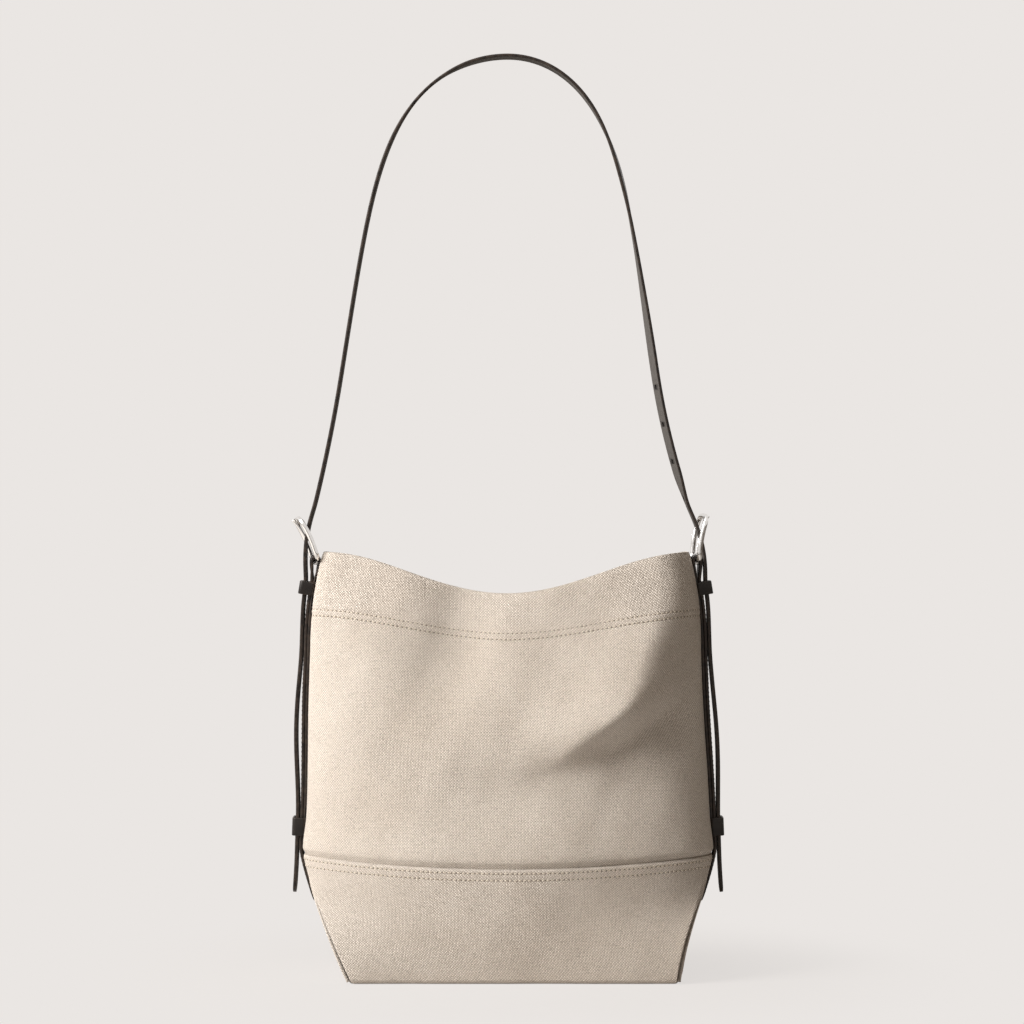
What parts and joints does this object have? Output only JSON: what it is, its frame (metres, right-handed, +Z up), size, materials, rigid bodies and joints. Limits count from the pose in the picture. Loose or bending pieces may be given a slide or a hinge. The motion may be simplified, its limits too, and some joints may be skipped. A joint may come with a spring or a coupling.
{
  "type": "bucket bag",
  "caption": "Canvas bucket bag with a boxed base band, a dipped open mouth and a long leather shoulder strap that buckles to a leather strip down each side.",
  "frame": {"origin": "on the ground under the middle of the bag's bounding box", "axes": "+Z up, the front faces -Y, +X to the right when the bag is seen from the front"},
  "size_m": [0.3613, 0.145, 0.766],
  "materials": {
    "canvas": "heavy plain weave",
    "board": "matt",
    "leather": "smooth, low sheen",
    "steel": "polished"
  },
  "bodies": {
    "bag": {"base_panel": "canvas", "base_board": "board", "front_base_band": "canvas", "back_base_band": "canvas", "left_base_gusset": "canvas", "right_base_gusset": "canvas", "front_panel": "canvas", "back_panel": "canvas", "front_facing": "canvas", "back_facing": "canvas", "inner_pocket": "canvas", "front_snap": "steel", "back_snap": "steel", "left_side_strip": "leather", "right_side_strip": "leather", "left_strap_tail": "leather", "right_strap_tail": "leather"},
    "strap": {"shoulder_strap": "leather"},
    "left_frame": {"left_buckle_frame": "steel"},
    "right_frame": {"right_buckle_frame": "steel"},
    "left_prong": {"left_buckle_prong": "steel"},
    "right_prong": {"right_buckle_prong": "steel"},
    "left_top_keeper": {"left_upper_keeper": "leather"},
    "left_foot_keeper": {"left_lower_keeper": "leather"},
    "right_top_keeper": {"right_upper_keeper": "leather"},
    "right_foot_keeper": {"right_lower_keeper": "leather"}
  },
  "joints": [
    {"name": "strap_swing", "type": "hinge", "parent": "bag", "child": "strap", "pos_m": [0, 0, 0.388], "axis": [1, 0, 0], "range_deg": [-115, 115]},
    {"name": "left_frame_tilt", "type": "hinge", "parent": "bag", "child": "left_frame", "pos_m": [-0.16079, 0, 0.344], "axis": [0, -1, 0], "range_deg": [-2.5, 2.5]},
    {"name": "right_frame_tilt", "type": "hinge", "parent": "bag", "child": "right_frame", "pos_m": [0.15679, 0, 0.344], "axis": [0, 1, 0], "range_deg": [-2.5, 2.5]},
    {"name": "left_prong_lift", "type": "hinge", "parent": "left_frame", "child": "left_prong", "pos_m": [-0.16079, 0, 0.344], "axis": [0, -1, 0], "range_deg": [0, 2]},
    {"name": "right_prong_lift", "type": "hinge", "parent": "right_frame", "child": "right_prong", "pos_m": [0.15679, 0, 0.344], "axis": [0, 1, 0], "range_deg": [0, 2]},
    {"name": "left_top_keeper_slide", "type": "slide", "parent": "bag", "child": "left_top_keeper", "axis": [0.1603, 0, 0.9871], "range_m": [-0.008, 0.004]},
    {"name": "left_foot_keeper_slide", "type": "slide", "parent": "bag", "child": "left_foot_keeper", "axis": [0.0363, 0, 0.9993], "range_m": [-0.008, 0.008]},
    {"name": "right_top_keeper_slide", "type": "slide", "parent": "bag", "child": "right_top_keeper", "axis": [-0.1603, 0, 0.9871], "range_m": [-0.008, 0.004]},
    {"name": "right_foot_keeper_slide", "type": "slide", "parent": "bag", "child": "right_foot_keeper", "axis": [-0.0363, 0, 0.9993], "range_m": [-0.008, 0.008]}
  ]
}
